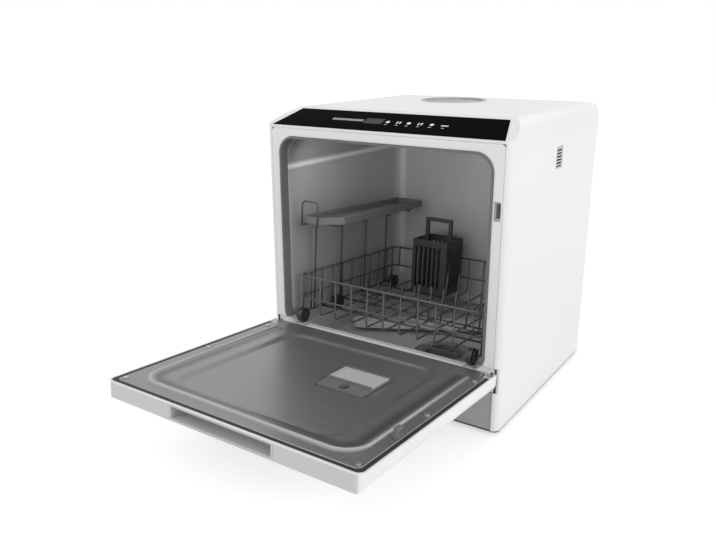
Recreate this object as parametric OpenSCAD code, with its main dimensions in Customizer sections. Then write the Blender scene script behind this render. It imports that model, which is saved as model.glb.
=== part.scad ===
// Countertop dishwasher with a drop-down door, a pull-out wheeled rack, a folding cup shelf,
// a water tank filled from the top, and the pumps, heater and fan that it needs to work.
// Millimetres. Z is up, the door faces -Y, and the feet stand on Z = 0.

/* [Case] */
// Width over the side walls
case_w = 400; // [380:1:430]
// Depth from the front frame to the rear face
case_d = 398; // [390:1:430]
// Height of the top face above the floor
case_top = 435; // [430:1:460]
// Thickness of the case wall
case_wall = 2.2; // [1.6:0.1:3]
// Radius of the long edges between top and sides
top_r = 30; // [20:1:34]
// Radius of the upright front edges
front_r = 10; // [8:1:11]
// Radius of the rear edges, seen from the side
rear_r = 28; // [20:1:34]
// Height of the feet
foot_h = 8; // [6:1:12]
// Diameter of a foot
foot_d = 26; // [20:1:32]

/* [Control panel] */
// Depth of the slope, front to back
slope_run = 63; // [55:1:75]
// Thickness of the glass
glass_t = 2.8; // [2:0.1:4]

/* [Front opening] */
// Height of the opening's lower edge
opening_z = 91; // [88:0.5:92]
// Corner radius of the opening
opening_r = 26; // [18:1:27]
// Depth of the front frame
frame_t = 14; // [10:1:18]

/* [Tub] */
// Height of the tub floor
tub_floor = 56; // [56:1:58]
// Thickness of the tub's sheet
tub_wall = 1.6; // [1:0.1:2]
// Radius between the tub's walls and ceiling
tub_r = 28; // [16:1:34]

/* [Track] */
// Fall of the runners and of the open door towards the back
tilt = 4; // [3:0.5:5]
// Height of the rolling surface at the front frame
track_z = 96; // [95:0.5:98]

/* [Door] */
// Thickness of the door
door_t = 26; // [24:1:30]
// Thickness of the door's skins
door_wall = 2.2; // [1.8:0.1:3]
// Width of the handle recess
handle_w = 162; // [120:1:180]
// Radius of a hinge pin
pin_r = 3; // [2.5:0.1:3.5]

/* [Rack] */
// Height of the top wire above the track
rail_h = 76; // [64:1:90]
// Diameter of the main wires
wire_d = 3.6; // [3.2:0.1:4]
// Diameter of a wheel
wheel_d = 24; // [20:1:25]

/* [Cup shelf] */
// Width of the cup shelf
shelf_w = 58; // [48:1:62]
// Height of its underside above the track
shelf_h = 163.4; // [140:0.2:175]

/* [Cutlery basket] */
// Width of the cutlery basket
basket_w = 68; // [50:1:72]
// Depth of the cutlery basket
basket_d = 64; // [50:1:66]
// Height of its walls
basket_h = 98; // [80:1:110]

/* [Water path] */
// Reach of the spray arm from its hub
arm_reach = 134; // [100:1:136]
// Radius of the water filler's bowl
filler_r = 52; // [40:1:56]
// Radius of the threaded water inlet, a three-quarter inch pipe thread
inlet_r = 13.2; // [13:0.1:13.4]
// Radius of the drain spigot
drain_r = 9; // [8:0.5:10]
// Outer radius of the inner hoses
hose_r = 7; // [6:0.5:8]

/* [Hidden] */
$fn = 64;

// Clearances
seam = 0.3;        // between a trim part and its neighbour
run_fit = 0.05;    // radial, a shaft in its own bore
reach_over = 1;    // how far a cut runs past a face
touch = 0.2;       // a part that is laid in place

// Case
half_w = case_w / 2;
panel_z = case_top - 23.4;
glass_low_w = case_w - 24;
glass_high_w = case_w - 58;
opening_w = case_w - 48;
opening_top = case_top - 39;
slope = atan((case_top - panel_z) / slope_run);
frame_w = case_w - 2 * front_r - 2 * seam;
frame_top = panel_z - 4.1;
rear_side_r = 56;
relief_y = 3;      // the frame stands back here, where the door's lower edge swings
relief_top = track_z + 7;
kick_top = opening_z - 25;
kick_back = 6;
pan_t = 2.5;
pan_top = foot_h + pan_t;

// Tub
tub_w = opening_w - 8;
tub_back = case_d - 53;
tub_top = opening_top - 2;

// Door
door_w = case_w - 8;
door_len = panel_z - track_z + 18.4;

// Door hinge, measured along and above the track
hinge_v = -9.5;
hinge_w = -8;
door_end = -0.5;
door_edge_r = 6;
door_corner_r = 10;
seal_w = 6.3;
ear_t = 3;
ear_x = door_w / 2 - 9.5;
ear_r = 7;
hinge_y = hinge_v * cos(tilt) + hinge_w * sin(tilt);
hinge_z = track_z - hinge_v * sin(tilt) + hinge_w * cos(tilt);

// Origin: the middle of the footprint, door open, from the door's free edge to the rear stubs
rear_stub = 16;
door_reach = (door_len - door_edge_r) * cos(tilt) + (door_t - door_edge_r) * sin(tilt) + door_edge_r;
front_y = (door_reach - case_d - rear_stub) / 2;

// Rack and wheels
rack_v = 16;
rack_w = tub_w - 22;
rack_len = tub_back - 49;
rack_end = rack_v + rack_len;
rack_x = (rack_w - wire_d) / 2;
thin_d = wire_d - 0.6;
wire_step = 29.6;
mat_x = rack_x - wire_d / 2 - touch;
wheel_r = wheel_d / 2;
wheel_w = 8;
wheel_x = rack_x - 9.2;
wheel_v = [wheel_r + 1.5, wheel_r + 99.5, rack_end - wheel_r - 4];
cross_v = [
    rack_v + 2 * wire_step, rack_v + 4 * wire_step, rack_end - 4 * wire_step, rack_end - 2 * wire_step
];
axle_r = 3;
mid_h = rail_h * 0.53;
ring_h = wheel_r;
floor_h = ring_h + (wire_d + thin_d) / 2 * cos(22.5);
floor_top = floor_h + thin_d / 2 * cos(22.5);
low_x = wheel_x - wheel_w / 2 - 6;
ledge_x = wheel_x - wheel_w / 2 - 5;

// Cup shelf
rod_r = 2;
rod_x = -rack_x + 6;
rod_h = shelf_h - 2.8;
shelf_t = 11;
shelf_v = rack_v - 4;
shelf_len = rack_len - 4;
loop_v = shelf_v - 2.2;
loop_h = shelf_h + shelf_t + 24;
post_v = [rack_v + 35, rack_v + 109, rack_end - 112, rack_end - 42];
lug_v = [rack_v + 72, rack_v + 144, rack_end - 79];

// Cutlery basket, at the back of the rack
basket_x = -12 - basket_w;
basket_v = rack_end - wire_d - basket_d - 4;

// Dispenser in the door
cup_x0 = 20;
cup_x1 = 90;
cup_v0 = -175;
cup_v1 = -106;
cup_depth = 18;
cover_v0 = cup_v0 + 24;
cover_v1 = cup_v1 - 3;

// Wet parts below the tub
water_z = (pan_top + tub_floor - tub_wall) / 2;
hub_y = tub_back / 2 + 2.5;
sump_x = 60;
sump_y = hub_y - 70;
sump_r = 40;
sump_z = 20;
pump_r = 20;
pump_x = -60;
volute_l = 20;
motor_l = 65;
heater_r = 11;
heater_l = 100;
hub_r = 6;
arm_z = 64;
arm_t = 12;
lane_y = hub_y + 45;
drain_x = half_w - 76;
drain_lane_x = half_w - 38;
valve_x = 78 - half_w;
stub_z = 62;
hose_bend = 11;

// Water filler and tank
filler_x = -30;
filler_y = tub_back - 55;
filler_depth = 10;
lid_axis_y = filler_y + 40;
lid_axis_z = case_top - 3;
tank_x0 = 38 - half_w;
tank_y0 = tub_back + tub_wall + 3;
tank_y1 = case_d - case_wall - 4.8;
tank_z0 = 84;
tank_z1 = tub_top + 4;

// Drying fan in the right wall, and its outlet
fan_y = hub_y - 1;
fan_z = tub_top - 76;
fan_r = 30;
fan_x0 = tub_w / 2 + tub_wall + seam;
fan_x1 = half_w - case_wall - touch;
vent_w = 26;
vent_h = 32;
vent_z = tub_top - 23;

// Latch on the right post, and the hook on the door
latch_x = opening_w / 2 + 6.5;
latch_z = opening_top - 75;
latch_w = 10;
hook_out = 13;
hook_v = hinge_v - (latch_z - hinge_z);

// ---- helpers ----

module at_front() translate([0, front_y, 0]) children();

// Moves onto the track: local Y runs into the machine, local Z is square to the rolling surface
module on_track() at_front() translate([0, 0, track_z]) rotate([-tilt, 0, 0]) children();

// Moves onto the slope of the control panel
module on_slope() at_front() translate([0, 0, panel_z]) rotate([slope, 0, 0]) children();

// Stands a flat outline (x, z) up and runs it from y0 to y1
module along_y(y0, y1) translate([0, y1, 0]) rotate([90, 0, 0]) linear_extrude(y1 - y0) children();

// Stands a flat outline (y, z) up and runs it from x0 to x1
module along_x(x0, x1) translate([x0, 0, 0]) rotate([90, 0, 90]) linear_extrude(x1 - x0) children();

module both_sides() for (side = [0, 1]) mirror([side, 0, 0]) children();

module block(low, high) translate(low) cube(high - low);

// Rectangle from low to high with its own radius at the lower and the upper corners
module soft_rect(low, high, r_low, r_high) {
    translate([low.x, low.y + r_low]) square([high.x - low.x, high.y - low.y - r_low - r_high]);
    if (r_low > 0) {
        translate([low.x + r_low, low.y]) square([high.x - low.x - 2 * r_low, r_low + 0.01]);
        for (x = [low.x + r_low, high.x - r_low]) translate([x, low.y + r_low]) circle(r_low);
    }
    if (r_high > 0) {
        translate([low.x + r_high, high.y - r_high - 0.01]) square([high.x - low.x - 2 * r_high, r_high + 0.01]);
        for (x = [low.x + r_high, high.x - r_high]) translate([x, high.y - r_high]) circle(r_high);
    }
}

// Eight-sided wire from a to b
module wire(a, b, d = wire_d) {
    run = b - a;
    len = norm(run);
    translate(a) rotate([0, acos(run.z / len), atan2(run.y, run.x)])
        rotate(22.5) cylinder(h = len, d = d, $fn = 8);
}

// Closed rectangle of wire in a level plane
module wire_ring(low, high, h, d) {
    e = d * 0.45;
    for (y = [low.y, high.y]) wire([low.x - e, y, h], [high.x + e, y, h], d);
    for (x = [low.x, high.x]) wire([x, low.y - e, h], [x, high.y + e, h], d);
}

// Round rod between two points
module rod(a, b, r) {
    run = b - a;
    len = norm(run);
    translate(a) rotate([0, acos(run.z / len), atan2(run.y, run.x)]) cylinder(h = len, r = r);
}

// Hose through a list of points, with a quarter bend at each corner
module hose(points, r) {
    difference() {
        hose_form(points, r);
        hose_form(points, r - 1.8);
    }
}

module hose_form(points, r) {
    last = len(points) - 1;
    for (i = [0 : last - 1]) {
        u = (points[i + 1] - points[i]) / norm(points[i + 1] - points[i]);
        rod(points[i] + (i > 0 ? hose_bend : 0) * u, points[i + 1] - (i < last - 1 ? hose_bend : 0) * u, r);
        if (i < last - 1) bend(points[i + 1], u, (points[i + 2] - points[i + 1]) / norm(points[i + 2] - points[i + 1]), r);
    }
}

// Quarter bend at p, from direction u to direction w
module bend(p, u, w, r) {
    n = cross(u, w);
    c = p - hose_bend * u + hose_bend * w;
    multmatrix([[-w.x, u.x, n.x, c.x], [-w.y, u.y, n.y, c.y], [-w.z, u.z, n.z, c.z], [0, 0, 0, 1]])
        rotate_extrude(angle = 90) translate([hose_bend, 0]) circle(r);
}

// ---- case ----

// The case's outer form, drawn in by inset
module case_form(inset) {
    low = foot_h + inset;
    top = case_top - inset;
    side = half_w - inset;
    back = case_d - inset;
    slope_z0 = panel_z + inset * tan(slope) - inset / cos(slope);
    slope_y1 = (top - slope_z0) / tan(slope) + inset;
    intersection() {
        along_y(inset, back) soft_rect([-side, low], [side, top], 0, top_r - inset);
        along_x(-side, side) soft_rect([-2 * rear_r, low], [back, top], rear_r - inset, rear_r - inset);
        along_x(-side - 1, side + 1) polygon([
            [inset, low - 1], [inset, slope_z0], [slope_y1, top], [slope_y1, top + 1], [back + 1, top + 1],
            [back + 1, low - 1]
        ]);
        translate([0, 0, low]) linear_extrude(top - low)
            soft_rect([-side, inset], [side, back], front_r - inset, rear_side_r - inset);
    }
}

// The glass outline on the slope, grown by gap
module glass_outline(gap) {
    low = 1;
    high = slope_run / cos(slope) - 9;
    polygon([
        [-glass_low_w / 2 - gap, low - gap], [glass_low_w / 2 + gap, low - gap],
        [glass_high_w / 2 + gap, high + gap], [-glass_high_w / 2 - gap, high + gap]
    ]);
}

module casing() color("white") difference() {
    at_front() difference() {
        case_form(0);
        case_form(case_wall);
        intersection() {
            translate([0, 0, foot_h - reach_over]) linear_extrude(reach_over + 2 * case_wall) soft_rect(
                [-half_w + case_wall, case_wall], [half_w - case_wall, case_d - case_wall],
                front_r - case_wall, rear_side_r - case_wall);
            block([-half_w, 0, 0], [half_w, case_d - rear_r, case_top]);
        }
        block([-half_w + front_r, -reach_over, foot_h - reach_over],
              [half_w - front_r, case_wall + reach_over, frame_top + touch]);
        block([-half_w - reach_over, -reach_over, kick_top],
              [half_w + reach_over, relief_y, relief_top]);
        block([-rear_window / 2, case_d - 2 * case_wall, rear_z0],
              [rear_window / 2, case_d + reach_over, rear_z1]);
        translate([filler_x, filler_y, case_top - 2 * case_wall])
            cylinder(r = filler_r, h = 3 * case_wall);
        block([half_w - 2 * case_wall, fan_y - vent_w / 2, vent_z - vent_h / 2],
              [half_w + reach_over, fan_y + vent_w / 2, vent_z + vent_h / 2]);
    }
    on_slope() translate([0, 0, -2 * case_wall]) linear_extrude(3 * case_wall) glass_outline(seam);
}

rear_window = case_w - 2 * rear_side_r - 8;
rear_z0 = foot_h + rear_r + 4;
rear_z1 = case_top - rear_r - 4;

module front_frame() color([0.88, 0.88, 0.88]) at_front() difference() {
    along_y(0, frame_t) soft_rect([-frame_w / 2, kick_top + seam], [frame_w / 2, frame_top], 0, 6);
    along_y(-reach_over, frame_t + reach_over) opening_outline(0);
    block([-half_w, -reach_over, 0], [half_w, relief_y, relief_top]);
    both_sides() block([ear_x - ear_t / 2 - 0.5, -reach_over, hinge_z - ear_r],
                       [ear_x + ear_t / 2 + 0.5, frame_t + reach_over, hinge_z + ear_r]);
    block([latch_x - latch_w / 2, -reach_over, latch_z - 13], [latch_x + latch_w / 2, frame_t + reach_over, latch_z + 13]);
}

module opening_outline(inset) soft_rect(
    [-opening_w / 2 + inset, opening_z + inset], [opening_w / 2 - inset, opening_top - inset],
    opening_r - inset, opening_r - inset);

module kick_plate() color([0.72, 0.72, 0.72]) at_front() difference() {
    block([-frame_w / 2, 2, foot_h], [frame_w / 2, kick_back, kick_top]);
    block([-frame_w / 2 + 8, 4, foot_h + 24], [frame_w / 2 - 8, kick_back + reach_over, kick_top - 4]);
}

module base_pan() color([0.35, 0.35, 0.36]) at_front() difference() {
    translate([0, 0, plinth_z]) linear_extrude(foot_h - plinth_z + pan_rim) pan_outline(0);
    translate([0, 0, pan_top]) linear_extrude(pan_rim) pan_outline(2);
    translate([0, 0, plinth_z - reach_over]) linear_extrude(foot_h - plinth_z + reach_over) pan_outline(plinth_t);
    feet_places() translate([0, 0, foot_h - reach_over]) cylinder(r = stem_r + run_fit, h = pan_t + 2 * reach_over);
    for (x = [-80 : 20 : 80]) block([x - 3, pan_y1 - 116, foot_h - reach_over], [x + 3, pan_y1 - 46, pan_top + reach_over]);
}

pan_x = half_w - case_wall - seam;
pan_rim = 14;
plinth_z = 3;
plinth_t = 6;
pan_r = rear_side_r - case_wall - seam;
pan_y1 = case_d - rear_r - 4;
stem_r = 4;

module pan_outline(inset) intersection() {
    soft_rect([-pan_x + inset, 6 + inset], [pan_x - inset, case_d - case_wall - seam - inset], 8, pan_r - inset);
    translate([-half_w, 0]) square([case_w, pan_y1 - inset]);
}

module feet_places() {
    for (x = [-half_w + 35, half_w - 35], y = [44, case_d - 52]) translate([x, y, 0]) children();
}

module feet() color([0.15, 0.15, 0.15]) at_front() feet_places() difference() {
    union() {
        cylinder(d = foot_d, h = foot_h);
        cylinder(r = stem_r, h = pan_top + 3);
    }
    translate([0, 0, -reach_over]) cylinder(d = foot_d / 2, h = 2 + reach_over);
}

cover_y0 = case_d - case_wall - touch - 2.2;
cover_y1 = case_d - case_wall - touch;

module rear_cover() color([0.8, 0.8, 0.8]) at_front() difference() {
    along_y(cover_y0, cover_y1) soft_rect([-rear_window / 2 - 4, rear_z0 - 3.5],
                                          [rear_window / 2 + 4, rear_z1 + 3.5], 3, 3);
    for (z = [rear_z1 - 153 : 14 : rear_z1 - 55]) along_y(cover_y0 - reach_over, cover_y1 + reach_over)
        soft_rect([-60, z], [60, z + 6], 2.9, 2.9);
    rear_hole(valve_x, inlet_r + 3 + touch);
    rear_hole(drain_x, drain_r + 5 + touch);
    rear_hole(gland_x, gland_r + touch);
    screw_places() rotate([-90, 0, 0]) translate([0, 0, cover_y0 - case_d - reach_over])
        cylinder(r = 2 + run_fit, h = 12);
}

gland_x = drain_x - 36;
gland_r = 8;

module rear_hole(x, r) translate([x, cover_y0 - reach_over, stub_z]) rotate([-90, 0, 0])
    cylinder(r = r, h = 5);

module screw_places() {
    for (x = [-rear_window / 2 + 8, rear_window / 2 - 8], z = [rear_z0 + 50, rear_z0 + 170, rear_z1 - 12])
        translate([x, case_d, z]) children();
}

module rear_screws() color([0.55, 0.55, 0.56]) at_front() screw_places() rotate([-90, 0, 0]) {
    translate([0, 0, cover_y1 - case_d]) cylinder(r = 4, h = 2.2);
    translate([0, 0, cover_y0 - case_d - 2]) cylinder(r = 2, h = 2 + cover_y1 - cover_y0);
}

module control_glass() color([0.03, 0.03, 0.04]) on_slope() translate([0, 0, 0.5 - glass_t])
    linear_extrude(glass_t) glass_outline(0);

tray_s0 = 16;
tray_s1 = slope_run / cos(slope) - 12;

module control_tray() color([0.25, 0.25, 0.26]) on_slope() difference() {
    top = 0.5 - glass_t;
    union() {
        block([-glass_high_w / 2 + 2, 4, top - 1.6], [glass_high_w / 2 - 2, tray_s1 + 4, top]);
        block([-glass_high_w / 2 + 4, tray_s0, top - 10], [glass_high_w / 2 - 4, tray_s1, top]);
    }
    block([-glass_high_w / 2 + 6, tray_s0 + 2, top - 8.4], [glass_high_w / 2 - 6, tray_s1 - 2, top + reach_over]);
}

module display_board() color([0.1, 0.35, 0.2]) on_slope() {
    low = 0.5 - glass_t - 8.4;
    block([21 - glass_high_w / 2, tray_s0 + 4, low], [glass_high_w / 2 - 21, tray_s1 - 4, low + 1.6]);
    for (x = [-20 : 20 : 80]) translate([x, (tray_s0 + tray_s1) / 2, low + 1.6]) cylinder(r = 4, h = 5);
    block([-110, tray_s0 + 8, low + 1.6], [-55, tray_s1 - 8, low + 6]);
}

gasket_w = (opening_w - tub_w) / 2 - 0.5;
gasket_lip = 1.7;

module door_gasket() color([0.2, 0.2, 0.21]) at_front() difference() {
    along_y(-gasket_lip, frame_t) opening_outline(seam);
    along_y(-gasket_lip - reach_over, frame_t + reach_over) opening_outline(gasket_w);
    block([-half_w, -10, 0], [half_w, frame_t + reach_over, relief_top + 1]);
}

// ---- tub ----

module tub_form(inset, front) intersection() {
    side = tub_w / 2 - inset;
    back = tub_back - inset;
    low = tub_floor + inset;
    high = tub_top - inset;
    along_y(front, back) soft_rect([-side, low], [side, high], 14 - inset, tub_r - inset);
    along_x(-side, side) {
        soft_rect([front - 40, low], [back, high], 14 - inset, tub_r - inset);
    }
    linear_extrude(case_top) soft_rect([-side, front - 40], [side, back], 0, 20 - inset);
}

ledge_end = tub_back - 12;

module ledge() {
    fall = tan(tilt);
    lift = track_z;
    along_x(ledge_x, tub_w / 2 + tub_wall / 2) polygon([
        [frame_t, tub_floor - tub_wall / 2], [frame_t, lift - frame_t * fall],
        [ledge_end, lift - ledge_end * fall], [ledge_end, tub_floor - tub_wall / 2]
    ]);
    along_x(ledge_x + 2, wheel_x + wheel_w / 2 + 3) polygon([
        [relief_y + touch, opening_z + 1.5], [relief_y + touch, lift - relief_y * fall],
        [frame_t + 1, lift - (frame_t + 1) * fall], [frame_t + 1, opening_z + 1.5]
    ]);
}

module tub() color([0.62, 0.63, 0.64]) at_front() difference() {
    union() {
        difference() {
            union() {
                tub_form(-tub_wall, frame_t);
                along_y(frame_t, frame_t + 2)
                    soft_rect([-tub_w / 2 - 5, kick_top + 2], [tub_w / 2 + 5, tub_top + 8], 4, 12);
            }
            tub_form(0, frame_t + 2);
            along_y(frame_t - reach_over, frame_t + 3) opening_outline(gasket_w);
        }
        both_sides() ledge();
    }
    translate([sump_x, sump_y, tub_floor - 4]) cylinder(r = sump_r - 2.4, h = 8);
    translate([0, hub_y, tub_floor - 4]) cylinder(r = 10.3, h = 8);
    translate([float_x, float_y, tub_floor - 4]) cylinder(r = 5.3, h = 8);
    lamp_block(reach_over, 0.1);
}

lamp_y = 40;
lamp_z = tub_top - 54;

module lamp_block(deep, gap) block(
    [tub_w / 2 - deep, lamp_y - 9 - gap, lamp_z - 7 - gap],
    [tub_w / 2 + tub_wall + deep, lamp_y + 9 + gap, lamp_z + 7 + gap]);

module tub_lamp() color([0.95, 0.95, 0.9]) at_front() {
    lamp_block(0, 0);
    block([tub_w / 2 + tub_wall, lamp_y - 12, lamp_z - 10], [tub_w / 2 + tub_wall + 3, lamp_y + 12, lamp_z + 10]);
}

// ---- water filler and tank ----

chute_w = 30;

module filler_bowl() color([0.6, 0.61, 0.62]) at_front() {
    floor_z = case_top - filler_depth;
    difference() {
        union() {
            translate([filler_x, filler_y, case_top]) cylinder(r = filler_r + 3, h = 1.2);
            translate([filler_x, filler_y, floor_z - 2]) cylinder(r = filler_r - seam, h = filler_depth + 2.5);
            block([filler_x - chute_w / 2, filler_y + 12, tub_top + 4.2],
                  [filler_x + chute_w / 2, tank_y0 + 24, floor_z]);
        }
        difference() {
            translate([filler_x, filler_y, floor_z]) cylinder(r = filler_r - 2.3, h = filler_depth + 2);
            for (x = [-16, 10]) translate([filler_x + x, 0, 0])
                block([0, lid_axis_y - 3, floor_z - 1], [6, lid_axis_y + 3, lid_axis_z + 2]);
        }
        block([filler_x - chute_w / 2 + 2, filler_y + 14, tub_top + 6],
              [filler_x + chute_w / 2 - 2, filler_y + 30, floor_z + reach_over]);
        block([filler_x - chute_w / 2 + 2, filler_y + 14, tub_top + 6],
              [filler_x + chute_w / 2 - 2, tank_y0 + 22, floor_z - 6]);
        block([filler_x - chute_w / 2 + 2, tank_y0 + 8, tub_top + 3],
              [filler_x + chute_w / 2 - 2, tank_y0 + 22, floor_z - 6]);
        rod([filler_x - 20, lid_axis_y, lid_axis_z], [filler_x + 20, lid_axis_y, lid_axis_z], 1.5 + run_fit);
    }
}

module filler_lid() color([0.68, 0.69, 0.7]) at_front() {
    low = case_top - 4.5;
    difference() {
        translate([filler_x, filler_y, low]) cylinder(r = filler_r - 6, h = 3);
        block([filler_x - 60, lid_axis_y + 2, low - 1], [filler_x + 60, lid_axis_y + 30, low + 5]);
        block([filler_x - 16.5, lid_axis_y - 4.4, low - 1], [filler_x - 9.5, lid_axis_y + 3, low + 5]);
        block([filler_x + 9.5, lid_axis_y - 4.4, low - 1], [filler_x + 16.5, lid_axis_y + 3, low + 5]);
        for (x = [filler_x - 60, filler_x + 22]) block([x, lid_axis_y - 6, low - 1], [x + 38, lid_axis_y + 3, low + 5]);
        translate([filler_x, filler_y - filler_r + 14, low + 1.2]) cylinder(r = 14, h = 3);
    }
    rod([filler_x - 18, lid_axis_y, lid_axis_z], [filler_x + 18, lid_axis_y, lid_axis_z], 1.5);
}

module water_tank() color([0.85, 0.88, 0.9]) at_front() {
    difference() {
        union() {
            block([tank_x0, tank_y0, tank_z0], [40, tank_y1, tank_z1]);
            translate([valve_x, (tank_y0 + tank_y1) / 2, valve_top]) cylinder(r = 6, h = tank_z0 - valve_top);
        }
        block([tank_x0 + 2, tank_y0 + 2, tank_z0 + 2], [38, tank_y1 - 2, tank_z1 - 2]);
        block([filler_x - 10, tank_y0 + 10, tank_z1 - 3], [filler_x + 10, tank_y0 + 20, tank_z1 + 1]);
        translate([valve_x, (tank_y0 + tank_y1) / 2, valve_top - 1]) cylinder(r = 4, h = 12);
    }
}

// ---- wet parts under the tub ----

module sump() color([0.3, 0.3, 0.31]) at_front() {
    floor_under = tub_floor - tub_wall;
    difference() {
        translate([sump_x, sump_y, sump_z]) {
            cylinder(r = sump_r, h = floor_under - sump_z);
            translate([0, 0, floor_under - sump_z - 2.4]) cylinder(r = sump_r + 5, h = 2.4);
        }
        translate([sump_x, sump_y, sump_z + 2]) cylinder(r = sump_r - 2.4, h = 60);
        rod([sump_x - sump_r - 1, sump_y, water_z], [sump_x, sump_y, water_z], hose_r - 1.8);
        rod([sump_x, sump_y - sump_r - 1, water_z], [sump_x, sump_y, water_z], hose_r - 1.8);
        rod([sump_x, sump_y, water_z], [sump_x, sump_y + sump_r + 1, water_z], hose_r - 1.8);
    }
}

filter_hole = 30;

module filter_plate() color([0.7, 0.7, 0.72]) at_front() translate([sump_x, sump_y, tub_floor]) difference() {
    cylinder(r = sump_r + 7, h = 1.2);
    translate([0, 0, -1]) cylinder(r = filter_hole + 0.5, h = 4);
    for (a = [0 : 15 : 345]) rotate(a) translate([sump_r - 1, 0, -1]) cylinder(r = 2, h = 4);
}

module filter_cup() color([0.45, 0.46, 0.47]) at_front() translate([sump_x, sump_y, 0]) {
    low = sump_z + 4;
    difference() {
        translate([0, 0, low]) cylinder(r = filter_hole, h = tub_floor + 2 - low);
        translate([0, 0, low + 2]) cylinder(r = filter_hole - 1.8, h = tub_floor);
        for (a = [0 : 30 : 330]) rotate(a)
            block([filter_hole - 6, -3, low + 5], [filter_hole + 2, 3, tub_floor - 6]);
    }
    block([-filter_hole + 1, -2, tub_floor - 8], [filter_hole - 1, 2, tub_floor + 5]);
}

module spray_pedestal() color([0.4, 0.4, 0.42]) at_front() translate([0, hub_y, 0]) difference() {
    union() {
        translate([0, 0, water_z - hose_r - 2]) cylinder(r = 10, h = tub_floor + 3 - water_z + hose_r + 2);
        translate([0, 0, tub_floor]) cylinder(r = 18, h = 4);
        translate([0, 0, tub_floor]) cylinder(r = hub_r, h = arm_z + arm_t + 3.4 - tub_floor);
        translate([0, 0, arm_z + arm_t + 0.4]) cylinder(r = 9, h = 3);
    }
    translate([0, 0, water_z]) cylinder(r = 3.6, h = arm_z + 6 - water_z);
    rod([-20, 0, water_z], [0, 0, water_z], 3.6);
    rod([-10, 0, arm_z + 6], [10, 0, arm_z + 6], 2.4);
}

module spray_arm() color([0.75, 0.76, 0.78]) at_front() translate([0, hub_y, arm_z]) difference() {
    union() {
        cylinder(r = 20, h = arm_t);
        rotate(arm_rest) for (a = [0, 180]) rotate(a) {
            block([0, -13, 0], [arm_reach - 13, 13, arm_t - 1]);
            translate([arm_reach - 13, 0, 0]) cylinder(r = 13, h = arm_t - 1);
        }
    }
    translate([0, 0, -1]) cylinder(r = hub_r + run_fit, h = arm_t + 2);
    rotate(arm_rest) for (a = [0, 180], x = [32 : 18 : arm_reach - 16])
        rotate(a) translate([x, 4, 3]) cylinder(r = 1.6, h = arm_t);
    rotate(arm_rest) for (a = [0, 180]) rotate(a)
        block([20, -10.5, 2.2], [arm_reach - 16, 10.5, arm_t - 3.4]);
}

arm_rest = 28;

module wash_pump() color([0.28, 0.28, 0.3]) at_front() difference() {
    union() {
        rod([pump_x, sump_y, water_z], [pump_x + volute_l, sump_y, water_z], pump_r);
        rod([pump_x + volute_l, sump_y, water_z], [-12, sump_y, water_z], hose_r - 2);
        rod([pump_x + 10, sump_y, water_z], [pump_x + 10, sump_y + 34, water_z], hose_r - 2);
    }
    rod([pump_x + 3, sump_y, water_z], [pump_x + volute_l - 3, sump_y, water_z], pump_r - 2.5);
    rod([pump_x - 1, sump_y, water_z], [pump_x + 5, sump_y, water_z], 3 + run_fit);
    rod([pump_x + volute_l - 4, sump_y, water_z], [-11, sump_y, water_z], hose_r - 3.6);
    rod([pump_x + 10, sump_y + 16, water_z], [pump_x + 10, sump_y + 35, water_z], hose_r - 3.6);
}

module wash_motor() color([0.6, 0.6, 0.62]) at_front() difference() {
    union() {
        rod([pump_x - motor_l, sump_y, water_z], [pump_x, sump_y, water_z], pump_r - 2);
        block([pump_x - motor_l + 12, sump_y - 14, pan_top], [pump_x - 12, sump_y + 14, water_z - 8]);
    }
    rod([pump_x - 16, sump_y, water_z], [pump_x + 1, sump_y, water_z], 3 + run_fit);
}

module wash_rotor() color([0.85, 0.85, 0.85]) at_front() translate([pump_x, sump_y, water_z]) {
    rod([-14, 0, 0], [12, 0, 0], 3);
    rod([4.5, 0, 0], [6.5, 0, 0], pump_r - 5);
    for (a = [0 : 60 : 300]) rotate([a, 0, 0]) block([6.4, -0.8, 1], [13, 0.8, pump_r - 6]);
}

module flow_heater() color([0.75, 0.6, 0.35]) at_front() difference() {
    union() {
        rod([-30 - heater_l, hub_y, water_z], [-30, hub_y, water_z], heater_r);
        rod([-30, hub_y, water_z], [-22, hub_y, water_z], hose_r - 2);
        rod([pump_x + 10, hub_y - 16, water_z], [pump_x + 10, hub_y, water_z], hose_r - 2);
    }
    rod([-28 - heater_l, hub_y, water_z], [-32, hub_y, water_z], heater_r - 2);
    rod([-33, hub_y, water_z], [-21, hub_y, water_z], hose_r - 3.6);
    rod([pump_x + 10, hub_y - 17, water_z], [pump_x + 10, hub_y, water_z], hose_r - 3.6);
}

module pump_hose() color([0.12, 0.12, 0.12]) at_front() difference() {
    rod([-28, sump_y, water_z], [sump_x - sump_r, sump_y, water_z], hose_r);
    rod([-29, sump_y, water_z], [sump_x, sump_y, water_z], hose_r - 2 + run_fit);
}

module wash_hose() color([0.12, 0.12, 0.12]) at_front() {
    difference() {
        rod([pump_x + 10, sump_y + 24, water_z], [pump_x + 10, hub_y - heater_r, water_z], hose_r);
        rod([pump_x + 10, sump_y + 23, water_z], [pump_x + 10, hub_y, water_z], hose_r - 2 + run_fit);
    }
    difference() {
        rod([-29.8, hub_y, water_z], [-10.2, hub_y, water_z], hose_r);
        rod([-31, hub_y, water_z], [-9, hub_y, water_z], hose_r - 2 + run_fit);
    }
}

drain_space = 14.8;    // between the kick plate and the drain pump

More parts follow.
